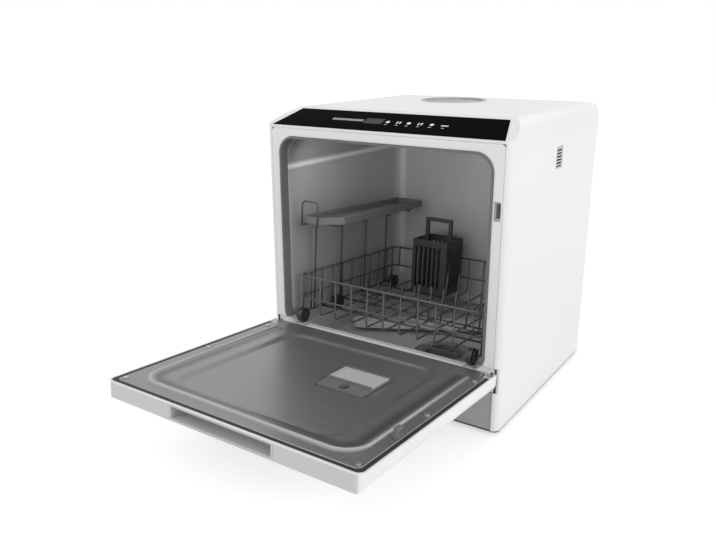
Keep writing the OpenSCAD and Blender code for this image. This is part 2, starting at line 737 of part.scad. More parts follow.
module drain_pump() color([0.3, 0.3, 0.32]) at_front() difference() {
    y1 = sump_y - sump_r - touch;
    union() {
        rod([sump_x, kick_back + drain_space, water_z], [sump_x, y1 - 6, water_z], 15);
        rod([sump_x, y1 - 6, water_z], [sump_x, y1, water_z], hose_r);
        rod([sump_x, y1 - 16, water_z], [sump_x + 24, y1 - 16, water_z], hose_r - 2);
    }
    rod([sump_x, y1 - 18, water_z], [sump_x, y1 - 8, water_z], 12);
    rod([sump_x, y1 - 9, water_z], [sump_x, y1 + 1, water_z], hose_r - 1.8);
    rod([sump_x, y1 - 16, water_z], [sump_x + 25, y1 - 16, water_z], hose_r - 3.6);
}

module drain_hose() color([0.14, 0.14, 0.14]) at_front() {
    y0 = sump_y - sump_r - touch - 16;
    y1 = tank_y0 + 12;
    difference() {
        hose([
            [sump_x + 15.4, y0, water_z], [drain_lane_x, y0, water_z], [drain_lane_x, y1, water_z],
            [drain_x, y1, water_z], [drain_x, y1, stub_z], [drain_x, cover_y0 - 6, stub_z]
        ], hose_r);
        rod([sump_x + 15, y0, water_z], [sump_x + 25, y0, water_z], hose_r - 2 + run_fit);
    }
}

module tank_hose() color([0.14, 0.14, 0.14]) at_front() hose([
    [valve_x, tank_y0 + 16, valve_low], [valve_x, tank_y0 + 16, water_z], [valve_x, lane_y, water_z],
    [sump_x, lane_y, water_z], [sump_x, sump_y + sump_r, water_z]
], hose_r);

valve_low = stub_z - 16;
valve_top = stub_z + 16;

module inlet_valve() color([0.9, 0.9, 0.88]) at_front() difference() {
    block([valve_x - 18, tank_y0, valve_low], [valve_x + 18, cover_y0 - 8, valve_top]);
    translate([valve_x, tank_y0 + 16, valve_low - 1]) cylinder(r = hose_r - 1.8, h = 10);
}

module water_inlet() color([0.8, 0.8, 0.82]) at_front() difference() {
    union() {
        rod([valve_x, cover_y0 - 8, stub_z], [valve_x, cover_y1 + 1, stub_z], inlet_r + 3);
        rod([valve_x, cover_y0, stub_z], [valve_x, case_d + rear_stub - 2, stub_z], inlet_r);
    }
    rod([valve_x, cover_y0, stub_z], [valve_x, case_d + rear_stub, stub_z], inlet_r - 3.2);
}

module drain_spigot() color([0.25, 0.25, 0.26]) at_front() difference() {
    union() {
        rod([drain_x, cover_y0 - 6, stub_z], [drain_x, cover_y1 + 1, stub_z], drain_r + 5);
        rod([drain_x, cover_y0, stub_z], [drain_x, case_d + rear_stub, stub_z], drain_r);
    }
    rod([drain_x, cover_y0 - 7, stub_z], [drain_x, case_d + rear_stub + 1, stub_z], drain_r - 2.4);
}

module cord_gland() color([0.1, 0.1, 0.1]) at_front() difference() {
    union() {
        rod([gland_x, cover_y0 - 4, stub_z], [gland_x, cover_y0, stub_z], gland_r + 3);
        rod([gland_x, cover_y0, stub_z], [gland_x, cover_y1 + 8, stub_z], gland_r);
    }
    rod([gland_x, cover_y0 - 5, stub_z], [gland_x, cover_y1 + 9, stub_z], 4);
}

module power_board() color([0.12, 0.38, 0.22]) at_front() translate([half_w - 140, tub_back - 105, pan_top]) {
    cube([90, 95, 3]);
    block([6, 6, 3], [26, 30, 24]);
    block([36, 10, 3], [60, 50, 18]);
    for (y = [60, 74, 88]) translate([15, y, 3]) cylinder(r = 5.5, h = 16);
    block([40, 64, 3], [84, 86, 12]);
}

float_x = 50 - tub_w / 2;
float_y = 44;

module float_cup() color([0.9, 0.9, 0.9]) at_front() translate([float_x, float_y, 0]) {
    difference() {
        translate([0, 0, tub_floor + touch]) cylinder(r = 13, h = 16);
        translate([0, 0, tub_floor - 1]) cylinder(r = 11, h = 15);
    }
    translate([0, 0, tub_floor - 16]) cylinder(r = 5.2, h = 30);
}

// ---- drying fan ----

module fan_housing() color([0.22, 0.22, 0.23]) at_front() difference() {
    union() {
        rod([fan_x0, fan_y, fan_z], [fan_x1, fan_y, fan_z], fan_r);
        block([fan_x0, fan_y - vent_w / 2 - 2, fan_z], [fan_x1, fan_y + vent_w / 2 + 2, vent_z + vent_h / 2 + 2]);
    }
    rod([fan_x0 + 2, fan_y, fan_z], [fan_x1 - 2, fan_y, fan_z], fan_r - 2);
    block([fan_x0 + 2, fan_y - vent_w / 2, fan_z], [fan_x1 - 2, fan_y + vent_w / 2, vent_z + vent_h / 2]);
    block([fan_x1 - 3, fan_y - vent_w / 2, vent_z - vent_h / 2],
          [fan_x1 + 1, fan_y + vent_w / 2, vent_z + vent_h / 2]);
    rod([fan_x0 - 1, fan_y, fan_z], [fan_x0 + 3, fan_y, fan_z], 2 + run_fit);
}

module fan_wheel() color([0.35, 0.35, 0.36]) at_front() translate([0, fan_y, fan_z]) {
    rod([fan_x0 + 0.2, 0, 0], [fan_x1 - 5, 0, 0], 2);
    rod([fan_x0 + 4, 0, 0], [fan_x0 + 6, 0, 0], fan_r - 5);
    rod([fan_x0 + 5.9, 0, 0], [fan_x1 - 6, 0, 0], 7);
    for (a = [0 : 30 : 330]) rotate([a, 0, 0])
        block([fan_x0 + 5.9, -0.8, 6], [fan_x1 - 5, 0.8, fan_r - 5.5]);
}

module vent_insert() color([0.6, 0.61, 0.62]) at_front() {
    y0 = fan_y - vent_w / 2 + touch;
    y1 = fan_y + vent_w / 2 - touch;
    z0 = vent_z - vent_h / 2 + touch;
    z1 = vent_z + vent_h / 2 - touch;
    difference() {
        block([half_w - case_wall, y0, z0], [half_w, y1, z1]);
        block([half_w - 5, y0 + 2, z0 + 2], [half_w + 1, y1 - 2, z1 - 2]);
    }
    for (z = [z0 + 4 : 4.6 : z1 - 4]) block([half_w - case_wall, y0 + 1, z], [half_w - 0.4, y1 - 1, z + 2]);
}

// ---- hinge and latch on the case ----

module hinge_brackets() color([0.65, 0.65, 0.67]) at_front() both_sides() difference() {
    along_x(ear_x - ear_t / 2, ear_x + ear_t / 2) {
        translate([hinge_y, hinge_z]) circle(ear_r);
        translate([hinge_y, hinge_z - 4.5]) square([26 - hinge_y, 9]);
        translate([frame_t + seam, pan_top]) square([24, hinge_z + 4.5 - pan_top]);
    }
    rod([ear_x - 9, hinge_y, hinge_z], [ear_x + 9, hinge_y, hinge_z], pin_r + run_fit);
}

module hinge_pins() color([0.5, 0.5, 0.52]) at_front() both_sides()
    rod([ear_x - 5.6, hinge_y, hinge_z], [ear_x + 5.6, hinge_y, hinge_z], pin_r);

module latch_catch() color([0.15, 0.15, 0.16]) at_front() difference() {
    union() {
        block([latch_x - 5, frame_t, latch_z - 18], [latch_x + 9, frame_t + 24, latch_z + 18]);
        block([latch_x - latch_w / 2 + touch, 5, latch_z - 12.8], [latch_x + latch_w / 2 - touch, frame_t + 1, latch_z + 12.8]);
    }
    block([latch_x - 3.4, 3, latch_z - 10], [latch_x + 3.4, frame_t + 8, latch_z + 10]);
}

// ---- door, drawn open on the track ----

hinge_cut_v = hinge_v - 10;

// The space that each hinge needs at the door's lower corners
module hinge_space(low) both_sides() block(
    [ear_x - 6.3, hinge_cut_v, low], [ear_x + 6.3, door_end + reach_over, 5]);

module door_outline(inset, v0, v1) soft_rect(
    [-door_w / 2 + inset, v0 + inset], [door_w / 2 - inset, v1 - inset],
    door_corner_r - min(inset, door_corner_r - 2), 3);

module door_form(inset) intersection() {
    translate([0, 0, -door_t - 1]) linear_extrude(door_t + 6) door_outline(inset, -door_len, door_end);
    along_x(-door_w / 2, door_w / 2) {
        r = door_edge_r - min(inset, door_edge_r - 1);
        v0 = -door_len + inset;
        w0 = -door_t + inset;
        translate([v0 + r, w0]) square([door_end - inset - v0 - r, door_t - inset + 5]);
        translate([v0, w0 + r]) square([door_len, door_t - inset - r + 5]);
        translate([v0 + r, w0 + r]) circle(r);
    }
    along_y(-door_len - 1, door_end + 1) {
        r = 14 - inset;
        side = door_w / 2 - inset;
        w0 = -door_t + inset;
        translate([-side + r, w0]) square([2 * side - 2 * r, door_t + 6]);
        translate([-side, w0 + r]) square([2 * side, door_t + 6]);
        for (x = [-side + r, side - r]) translate([x, w0 + r]) circle(r);
    }
}

handle_high = -2.6;
handle_low = -door_t + 5;
handle_deep = 26;

module door_shell() color("white") on_track() difference() {
    door_form(0);
    door_form(door_wall);
    block([-door_w, -door_len - 1, 0], [door_w, 10, 10]);
    block([-handle_w / 2, -door_len - 1, handle_low], [handle_w / 2, -door_len + 6, handle_high]);
    hinge_space(-door_t + door_wall);
}

module door_handle() color([0.5, 0.5, 0.51]) on_track() difference() {
    block(
        [-handle_w / 2 + touch, -door_len, handle_low + touch],
        [handle_w / 2 - touch, -door_len + handle_deep, handle_high - touch]);
    block(
        [-handle_w / 2 + 3, -door_len - reach_over, handle_low + 2],
        [handle_w / 2 - 3, -door_len + handle_deep - 3, handle_high - 1.8]);
}

liner_w = door_w - 2 * door_wall - 2 * seal_w;
liner_v0 = -door_len + door_wall + seal_w;
liner_v1 = door_end - 2.5;
liner_t = 2.4;
dish_x = liner_w / 2 - 55.5;
dish_v0 = -door_len + 40;
dish_v1 = -36;
dish_wall = 4;

module u_ridge(h) {
    x1 = liner_w / 2 - 18;
    v0 = -door_len + 26;
    difference() {
        soft_rect([-x1, v0], [x1, -30], 34, 3);
        soft_rect([-x1 + h, v0 + h], [x1 - h, -26], 34 - h, 3);
    }
}

module door_liner() color([0.5, 0.51, 0.52]) on_track() difference() {
    union() {
        translate([0, 0, -liner_t]) linear_extrude(liner_t) soft_rect(
            [-liner_w / 2, liner_v0], [liner_w / 2, liner_v1], 8, 3);
        translate([0, 0, -0.5]) linear_extrude(3) u_ridge(5);
        translate([0, 0, -liner_t - 3]) linear_extrude(4) soft_rect([-dish_x, dish_v0], [dish_x, dish_v1], 36, 20);
    }
    translate([0, 0, -3]) linear_extrude(6) soft_rect(
        [-dish_x + dish_wall, dish_v0 + dish_wall], [dish_x - dish_wall, dish_v1 - dish_wall], 34, 18);
    block([cup_x0 - touch, cup_v0 - touch, -8], [cup_x1 + touch, cup_v1 + touch, 2]);
    hinge_space(-8);
    block([latch_x - 2.5 - touch, hook_v - 6 - touch, -8], [latch_x + 2.5 + touch, hook_v + 6 + touch, 2]);
    for (p = liner_screws) translate([p.x, p.y, -8]) cylinder(r = 1.6, h = 12);
}

liner_screws = [for (x = [-liner_w / 2 + 7, liner_w / 2 - 7], v = [liner_v0 + 9, -170, -40]) [x, v]];

module door_seal() color([0.13, 0.13, 0.14]) on_track() difference() {
    translate([0, 0, -6]) linear_extrude(5.6) soft_rect(
        [-liner_w / 2 - seal_w + touch, liner_v0 - seal_w + touch], [liner_w / 2 + seal_w - touch, liner_v1], 8, 1);
    translate([0, 0, -7]) linear_extrude(9) soft_rect(
        [-liner_w / 2 - touch, liner_v0 - touch], [liner_w / 2 + touch, liner_v1 + 9], 8, 1);
    both_sides() block([ear_x - 6.3, hinge_cut_v, -8], [door_w / 2, door_end + reach_over, 5]);
    block([-door_w, -door_len - reach_over, -30], [door_w, -door_len + handle_deep + 1, handle_high]);
}

module door_screws() color([0.6, 0.6, 0.62]) on_track() for (p = liner_screws) translate([p.x, p.y, 0]) {
    cylinder(r = 3.2, h = 1.4);
    translate([0, 0, -10]) cylinder(r = 1.5, h = 10.5);
}

module hinge_arms() color([0.6, 0.6, 0.62]) on_track() both_sides() difference() {
    intersection() {
        for (x = [ear_x - 5.8, ear_x + 2.1]) along_x(x, x + 3.7) {
            translate([hinge_v, hinge_w]) circle(6.4);
            translate([hinge_v - 6.4, -door_t]) square([11, door_t + hinge_w]);
        }
        door_form(door_wall);
    }
    rod([ear_x - 9, hinge_v, hinge_w], [ear_x + 9, hinge_v, hinge_w], pin_r + run_fit);
}

module latch_hook() color([0.3, 0.3, 0.31]) on_track() difference() {
    block([latch_x - 2.5, hook_v - 6, -door_t + door_wall + 6], [latch_x + 2.5, hook_v + 6, hook_out]);
    block([latch_x - 3, hook_v - 2, hook_out - 8], [latch_x + 3, hook_v + 7, hook_out - 3.5]);
}

module dispenser_cup() color([0.42, 0.43, 0.44]) on_track() difference() {
    union() {
        block([cup_x0, cup_v0, -cup_depth - 2], [cup_x1, cup_v1, 0]);
        for (v = [cover_v0 - 2.5, cover_v1]) block([cup_x0, v, -1], [cup_x1, v + 2.5, 3.2]);
        block([cup_x0, cover_v0 - 1, 2.4], [cup_x1, cover_v0 + 1.2, 3.2]);
        block([cup_x0, cover_v1 - 1.2, 2.4], [cup_x1, cover_v1 + 1, 3.2]);
    }
    block([cup_x0 + 4, cover_v0 + 3, -cup_depth], [cup_x1 - 4, cover_v1 - 3, 1]);
    translate([(cup_x0 + cup_x1) / 2, cup_v0 + 12, -8]) cylinder(r = 8, h = 10);
}

module dispenser_lid() color([0.55, 0.56, 0.57]) on_track() difference() {
    union() {
        block([cup_x0 + 0.5, cover_v0 + touch, 0.1], [cup_x1 - 0.5, cover_v1 - touch, 2.2]);
        block([cup_x0 + 8, cover_v0 + 6, 2], [cup_x0 + 14, cover_v1 - 6, 4]);
    }
}

// ---- rack ----

// The rack's wires are welded up as five flat mats
module rack_basket() color([0.25, 0.25, 0.26]) on_track() {
    both_sides() rack_side();
    rack_end_mat(rack_v);
    rack_end_mat(rack_end);
    rack_floor();
}

module rack_side() {
    e = wire_d * 0.45;
    for (w = [[rail_h, wire_d], [mid_h, thin_d + 0.2], [ring_h, wire_d]])
        wire([rack_x, rack_v - e, w[0]], [rack_x, rack_end + e, w[0]], w[1]);
    for (i = [0 : floor((rack_end - rack_v) / wire_step)])
        wire([rack_x, rack_v + i * wire_step, ring_h], [rack_x, rack_v + i * wire_step, rail_h], thin_d - 0.2);
}

module rack_end_mat(v) {
    wire([-low_x, v, ring_h], [low_x, v, ring_h], wire_d);
    wire([-mat_x, v, mid_h], [mat_x, v, mid_h], thin_d + 0.2);
    wire([-mat_x, v, rail_h], [mat_x, v, rail_h], wire_d);
    for (i = [-4 : 4]) wire([i * wire_step, v, ring_h], [i * wire_step, v, rail_h], thin_d - 0.2);
    for (x = [-5 * wire_step, 5 * wire_step]) wire([x, v, mid_h], [x, v, rail_h], thin_d - 0.2);
}

module rack_floor() {
    e = thin_d / 2 + touch;
    for (i = [-4 : 4]) wire([i * wire_step, rack_v + e, floor_h], [i * wire_step, rack_end - e, floor_h], thin_d);
    for (v = cross_v) wire([-mat_x, v, ring_h], [mat_x, v, ring_h], wire_d);
}

tine_row_v = [rack_v + 84, rack_end - 112];

module plate_tines() color([0.27, 0.27, 0.28]) on_track() {
    base_h = floor_top + thin_d / 2 * cos(22.5);
    for (v = tine_row_v) {
        wire([2, v, base_h], [low_x, v, base_h], thin_d);
        for (x = [10 : 22 : low_x]) wire([x, v, base_h], [x, v + 7, rail_h - 4], thin_d - 0.3);
    }
    wire([-128, rack_v + 134, base_h], [-14, rack_v + 134, base_h], thin_d);
    for (x = [-120 : 24 : -20]) wire([x, rack_v + 134, base_h], [x, rack_v + 138, rail_h - 24], thin_d - 0.3);
}

module axle_brackets() color([0.2, 0.2, 0.21]) on_track() both_sides() for (v = wheel_v) {
    plate = rack_x - wire_d / 2 * cos(22.5);
    block([plate - 3, v - 7, wheel_r - 6], [plate, v + 7, wheel_r + 9]);
    rod([wheel_x - wheel_w / 2 - 0.4, v, wheel_r], [plate - 2, v, wheel_r], axle_r);
    rod([wheel_x - wheel_w / 2 - 2, v, wheel_r], [wheel_x - wheel_w / 2 - 0.3, v, wheel_r], axle_r + 1.6);
}

module wheel_pair(v) color([0.18, 0.18, 0.19]) on_track() both_sides() translate([wheel_x, v, wheel_r])
    rotate([0, 90, 0]) difference() {
        translate([0, 0, -wheel_w / 2]) cylinder(r = wheel_r - seam, h = wheel_w);
        translate([0, 0, -wheel_w]) cylinder(r = axle_r + run_fit, h = 2 * wheel_w);
        for (z = [-wheel_w, wheel_w / 2 - 1.5]) translate([0, 0, z]) difference() {
            cylinder(r = wheel_r - 2.2, h = wheel_w / 2 + 1.5);
            translate([0, 0, -1]) cylinder(r = axle_r + 2.4, h = wheel_w + 2);
        }
    }

module front_wheels() wheel_pair(wheel_v[0]);
module middle_wheels() wheel_pair(wheel_v[1]);
module rear_wheels() wheel_pair(wheel_v[2]);

module shelf_posts() color([0.25, 0.25, 0.26]) on_track() {
    x = -rack_x + (wire_d + thin_d) / 2 * cos(22.5);
    arm_h = rod_h - rod_r - thin_d / 2 * 0.8;
    tip_x = rod_x + shelf_w - 12;
    for (v = post_v) {
        wire([x, v, ring_h], [x, v, arm_h + 1], thin_d);
        wire([x - 1, v, arm_h], [tip_x + 1, v, arm_h], thin_d - 0.2);
        wire([tip_x, v, arm_h], [tip_x, v, shelf_h - seam], thin_d - 0.4);
    }
    rod([rod_x, loop_v, rod_h], [rod_x, post_v[3] + 12, rod_h], rod_r);
    wire([rod_x, loop_v, rod_h - 1.5], [rod_x, loop_v, loop_h + 1.2], thin_d);
    wire([rod_x - 1.2, loop_v, loop_h], [rod_x + 31.2, loop_v, loop_h], thin_d);
    wire([rod_x + 30, loop_v, shelf_h - 3], [rod_x + 30, loop_v, loop_h + 1.2], thin_d);
}

module cup_shelf() color([0.42, 0.43, 0.44]) on_track() {
    x0 = rod_x - 1;
    x1 = x0 + shelf_w;
    v0 = shelf_v;
    v1 = shelf_v + shelf_len;
    difference() {
        translate([0, 0, shelf_h]) linear_extrude(shelf_t)
            polygon([[x0 + 8, v0], [x1 - 26, v0], [x1, v0 + 34], [x1, v1 - 8], [x1 - 8, v1], [x0, v1], [x0, v0 + 8]]);
        translate([0, 0, shelf_h + 3]) linear_extrude(shelf_t) polygon([
            [x0 + 10, v0 + 3], [x1 - 27, v0 + 3], [x1 - 3, v0 + 35], [x1 - 3, v1 - 9],
            [x1 - 9, v1 - 3], [x0 + 3, v1 - 3], [x0 + 3, v0 + 10]
        ]);
        for (v = [v0 + 40 : 14 : v1 - 16])
            block([x0 + 10, v, shelf_h - 1], [x1 - 8, v + 9, shelf_h + 5]);
    }
    for (v = lug_v) difference() {
        union() {
            rod([rod_x, v - 7, rod_h], [rod_x, v + 7, rod_h], rod_r + 2.6);
            block([rod_x - 1, v - 7, rod_h + 1], [rod_x + 4.6, v + 7, shelf_h + 1]);
        }
        rod([rod_x, v - 8, rod_h], [rod_x, v + 8, rod_h], rod_r + run_fit);
    }
}

module cutlery_basket() color([0.2, 0.2, 0.21]) on_track() translate([basket_x, basket_v, floor_top + touch]) {
    difference() {
        cube([basket_w, basket_d, basket_h]);
        block([2, 2, 2], [basket_w - 2, basket_d - 2, basket_h + 1]);
        for (x = [6 : 9 : basket_w - 10]) block([x, -1, 12], [x + 5, basket_d + 1, basket_h - 12]);
        for (y = [6 : 9 : basket_d - 10]) block([-1, y, 12], [basket_w + 1, y + 5, basket_h - 12]);
        for (x = [8 : 12 : basket_w - 8], y = [8 : 12 : basket_d - 8])
            translate([x, y, -1]) cylinder(r = 3, h = 5);
    }
    difference() {
        block([8, basket_d / 2 - 3, basket_h - 14], [basket_w - 8, basket_d / 2 + 3, basket_h + 36]);
        block([14, basket_d / 2 - 4, basket_h - 15], [basket_w - 14, basket_d / 2 + 4, basket_h + 30]);
    }
    for (x = [1.9, basket_w - 8.1]) block([x, basket_d / 2 - 3, basket_h - 14], [x + 6.2, basket_d / 2 + 3, basket_h]);
}

casing();
front_frame();
kick_plate();
base_pan();
feet();
rear_cover();
rear_screws();
control_glass();
control_tray();
display_board();
door_gasket();
tub();
tub_lamp();
filler_bowl();
water_tank();
sump();
filter_plate();
spray_pedestal();
wash_pump();
wash_motor();
flow_heater();
drain_pump();
pump_hose();
wash_hose();
drain_hose();
tank_hose();
inlet_valve();
water_inlet();
drain_spigot();
cord_gland();
power_board();
fan_housing();
vent_insert();
hinge_brackets();
hinge_pins();
latch_catch();
door_shell();
door_liner();
door_seal();
door_handle();
hinge_arms();
dispenser_cup();
latch_hook();
door_screws();
dispenser_lid();
rack_basket();
plate_tines();
axle_brackets();
shelf_posts();
front_wheels();
middle_wheels();
rear_wheels();
cup_shelf();
cutlery_basket();
spray_arm();
filter_cup();
filler_lid();
float_cup();
wash_rotor();
fan_wheel();
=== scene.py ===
"""Countertop dishwasher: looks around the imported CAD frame. Metres, Z up, the door opens towards -Y."""
import bpy, math
from mathutils import Vector, Matrix


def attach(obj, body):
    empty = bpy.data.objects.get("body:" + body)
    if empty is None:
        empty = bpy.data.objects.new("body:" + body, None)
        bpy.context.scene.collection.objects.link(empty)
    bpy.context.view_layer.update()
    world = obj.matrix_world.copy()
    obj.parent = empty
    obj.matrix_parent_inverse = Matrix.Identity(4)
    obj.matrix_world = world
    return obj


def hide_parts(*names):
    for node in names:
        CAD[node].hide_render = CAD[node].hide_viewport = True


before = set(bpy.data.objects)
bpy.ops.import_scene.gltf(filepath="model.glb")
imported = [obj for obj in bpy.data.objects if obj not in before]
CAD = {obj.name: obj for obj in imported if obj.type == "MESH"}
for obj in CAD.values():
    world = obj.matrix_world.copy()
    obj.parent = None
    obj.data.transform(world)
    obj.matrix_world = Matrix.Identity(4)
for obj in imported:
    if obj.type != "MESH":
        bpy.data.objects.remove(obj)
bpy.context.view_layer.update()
scene = bpy.context.scene
scene.view_settings.view_transform = "Standard"

FY = -0.0397019          # the front frame's face in the row frame
TILT = math.radians(4)
CT, ST = math.cos(TILT), math.sin(TILT)


def front(x, y, z):
    """Millimetres from the front frame's face to the row frame."""
    return Vector((x / 1000, y / 1000 + FY, z / 1000))


def track(x, v, w):
    """Millimetres along and above the open door and the runners to the row frame."""
    return front(x, v * CT + w * ST, 96 - v * ST + w * CT)


# ---------------------------------------------------------------- camera
cam_data = bpy.data.cameras.new("camera")
SENSOR, FOCAL_PX, IMAGE_W = 36, 724.797768, 716
cam_data.sensor_width = SENSOR
cam_data.lens = SENSOR * FOCAL_PX / IMAGE_W
cam_data.clip_start, cam_data.clip_end = 0.01, 50
cam = bpy.data.objects.new("camera", cam_data)
scene.collection.objects.link(cam)
right = Vector((0.828780555, 0.559560549, -0.003845096))
down = Vector((0.164006810, -0.249473244, -0.954392407))
ahead = Vector((-0.534999587, 0.790351246, -0.298530315))
turn = Matrix((right, -down, -ahead)).transposed().to_4x4()
cam.matrix_world = Matrix.Translation(front(543.792530, -851.713750, 528.190111)) @ turn
scene.camera = cam


# ---------------------------------------------------------------- materials
def new_mat(name):
    m = bpy.data.materials.new(name)
    m.use_nodes = True
    nt = m.node_tree
    bsdf = nt.nodes["Principled BSDF"]
    return m, nt, bsdf


def coords(nt, scale=(1, 1, 1)):
    tc = nt.nodes.new("ShaderNodeTexCoord")
    mp = nt.nodes.new("ShaderNodeMapping")
    mp.inputs["Scale"].default_value = scale
    nt.links.new(tc.outputs["Object"], mp.inputs["Vector"])
    return mp.outputs["Vector"]


def noise_tex(nt, vec, scale, detail=3, rough=0.5):
    n = nt.nodes.new("ShaderNodeTexNoise")
    n.inputs["Scale"].default_value = scale
    n.inputs["Detail"].default_value = detail
    n.inputs["Roughness"].default_value = rough
    nt.links.new(vec, n.inputs["Vector"])
    return n.outputs["Fac"]


def ramp(nt, fac, lo, hi, at=(0.35, 0.65)):
    r = nt.nodes.new("ShaderNodeValToRGB")
    r.color_ramp.elements[0].position, r.color_ramp.elements[1].position = at
    r.color_ramp.elements[0].color = (*lo, 1)
    r.color_ramp.elements[1].color = (*hi, 1)
    nt.links.new(fac, r.inputs["Fac"])
    return r.outputs["Color"]


def span(nt, fac, lo, hi):
    r = nt.nodes.new("ShaderNodeMapRange")
    r.inputs["From Min"].default_value, r.inputs["From Max"].default_value = 0.3, 0.7
    r.inputs["To Min"].default_value, r.inputs["To Max"].default_value = lo, hi
    nt.links.new(fac, r.inputs["Value"])
    return r.outputs["Result"]


def bump(nt, height, strength, dist, edge=0.0):
    b = nt.nodes.new("ShaderNodeBump")
    b.inputs["Strength"].default_value = strength
    b.inputs["Distance"].default_value = dist
    nt.links.new(height, b.inputs["Height"])
    if edge > 0:
        e = nt.nodes.new("ShaderNodeBevel")
        e.samples = 4
        e.inputs["Radius"].default_value = edge
        nt.links.new(e.outputs["Normal"], b.inputs["Normal"])
    return b.outputs["Normal"]


def shade(c, k):
    return tuple(min(1, max(0, v * k)) for v in c)


def plastic(name, color, rough=0.45, grain=900, depth=0.12, tone=0.035, edge=0.0005, coat=0.0, spec=0.5):
    """Moulded plastic or paint: fine grain, a slow drift of tone and sheen, softened edges."""
    m, nt, b = new_mat(name)
    vec = coords(nt)
    slow = noise_tex(nt, vec, 7, 2)
    fine = noise_tex(nt, vec, grain, 2)
    nt.links.new(ramp(nt, slow, shade(color, 1 - tone), shade(color, 1 + tone)), b.inputs["Base Color"])
    nt.links.new(span(nt, slow, rough * 0.9, min(1, rough * 1.12)), b.inputs["Roughness"])
    nt.links.new(bump(nt, fine, depth, 0.0002, edge), b.inputs["Normal"])
    b.inputs["Coat Weight"].default_value = coat
    b.inputs["Coat Roughness"].default_value = 0.12
    b.inputs["Specular IOR Level"].default_value = spec
    return m


def metal(name, color, rough=0.3, streak=(3, 3, 700), depth=0.1, tone=0.08, edge=0.0004, metallic=1.0,
          band=(5, 5, 5)):
    """Brushed or plated metal: fine streaks in tone, sheen and height over slow bands."""
    m, nt, b = new_mat(name)
    lines = noise_tex(nt, coords(nt, streak), 1.0, 4, 0.6)
    slow = noise_tex(nt, coords(nt, band), 1.0, 3)
    mix = nt.nodes.new("ShaderNodeMath")
    mix.operation = "ADD"
    half = nt.nodes.new("ShaderNodeMath")
    half.operation = "MULTIPLY"
    half.inputs[1].default_value = 0.5
    nt.links.new(lines, mix.inputs[0])
    nt.links.new(slow, mix.inputs[1])
    nt.links.new(mix.outputs[0], half.inputs[0])
    tones = ramp(nt, half.outputs[0], shade(color, 1 - tone), shade(color, 1 + tone))
    nt.links.new(tones, b.inputs["Base Color"])
    nt.links.new(span(nt, lines, rough * 0.85, min(1, rough * 1.2)), b.inputs["Roughness"])
    nt.links.new(bump(nt, lines, depth, 0.00015, edge), b.inputs["Normal"])
    b.inputs["Metallic"].default_value = metallic
    return m


def distance_along(nt, axis, origin=(0, 0, 0)):
    """Metres along axis from origin, in the object's own coordinates."""
    less = nt.nodes.new("ShaderNodeVectorMath")
    less.operation = "SUBTRACT"
    less.inputs[1].default_value = origin
    nt.links.new(coords(nt), less.inputs[0])
    dot = nt.nodes.new("ShaderNodeVectorMath")
    dot.operation = "DOT_PRODUCT"
    dot.inputs[1].default_value = axis
    nt.links.new(less.outputs["Vector"], dot.inputs[0])
    return dot.outputs["Value"]


def product(nt, a, b2):
    node = nt.nodes.new("ShaderNodeMath")
    node.operation = "MULTIPLY"
    nt.links.new(a, node.inputs[0])
    nt.links.new(b2, node.inputs[1])
    return node.outputs[0]


MIX_A, MIX_B, MIX_OUT = 6, 7, 2    # the mix node's colour sockets


def toned(nt, b, fac, color):
    """Mixes a colour into the base colour where fac is 1."""
    mix = nt.nodes.new("ShaderNodeMix")
    mix.data_type = "RGBA"
    nt.links.new(fac, mix.inputs["Factor"])
    nt.links.new(b.inputs["Base Color"].links[0].from_socket, mix.inputs[MIX_A])
    mix.inputs[MIX_B].default_value = (*color, 1)
    nt.links.new(mix.outputs[MIX_OUT], b.inputs["Base Color"])


def smooth_step(nt, value, at0, at1):
    r = nt.nodes.new("ShaderNodeMapRange")
    r.interpolation_type = "SMOOTHSTEP"
    r.inputs["From Min"].default_value, r.inputs["From Max"].default_value = at0, at1
    nt.links.new(value, r.inputs["Value"])
    return r.outputs["Result"]


def crease_and_painted_light(m, z, half, dark, light):
    """Adds a pressed crease at height z as a bump, with painted shade on the sheet above it and a painted
    highlight on its bent edge.
    """
    nt = m.node_tree
    b = nt.nodes["Principled BSDF"]
    high = distance_along(nt, (0, 0, 1))
    rise = smooth_step(nt, high, z - half, z)
    edge = product(nt, rise, smooth_step(nt, high, z + half, z))
    # painted shade: the sheet is darker everywhere above the crease
    toned(nt, b, rise, dark)
    # painted highlight along the crease's bent edge
    toned(nt, b, edge, light)
    old = b.inputs["Normal"].links[0].from_node
    lift = nt.nodes.new("ShaderNodeBump")
    lift.inputs["Strength"].default_value = 0.8
    lift.inputs["Distance"].default_value = 0.003
    nt.links.new(edge, lift.inputs["Height"])
    if old.inputs["Normal"].links:
        nt.links.new(old.inputs["Normal"].links[0].from_socket, lift.inputs["Normal"])
    nt.links.new(lift.outputs["Normal"], old.inputs["Normal"])


def cloudy(nt, socket, scale, lo, hi):
    """Drives a colour socket with a slow noise between two colours."""
    nt.links.new(ramp(nt, noise_tex(nt, coords(nt), scale, 2), lo, hi), socket)


def painted_door_end_shade(m, color):
    """Painted shade: the door's free end face is toned greyer inside a white rim."""
    nt = m.node_tree
    v = distance_along(nt, (0, CT, -ST), track(0, 0, 0))
    w = distance_along(nt, (0, ST, CT), track(0, 0, 0))
    end = smooth_step(nt, v, -0.3316, -0.3332)
    # painted shade over the end face, not a separate cap
    toned(nt, nt.nodes["Principled BSDF"], product(nt, end, smooth_step(nt, w, -0.0012, -0.0026)), color)


def painted_light_at_mark(m, mark, color):
    """Tones a material where the mesh carries the mark: used for painted highlight and painted shade on
    the liner.
    """
    nt = m.node_tree
    attr = nt.nodes.new("ShaderNodeAttribute")
    attr.attribute_name = mark
    toned(nt, nt.nodes["Principled BSDF"], attr.outputs["Fac"], color)


def rubber(name, color, rough=0.75):
    return plastic(name, color, rough, grain=350, depth=0.25, tone=0.12, edge=0.0004, spec=0.3)


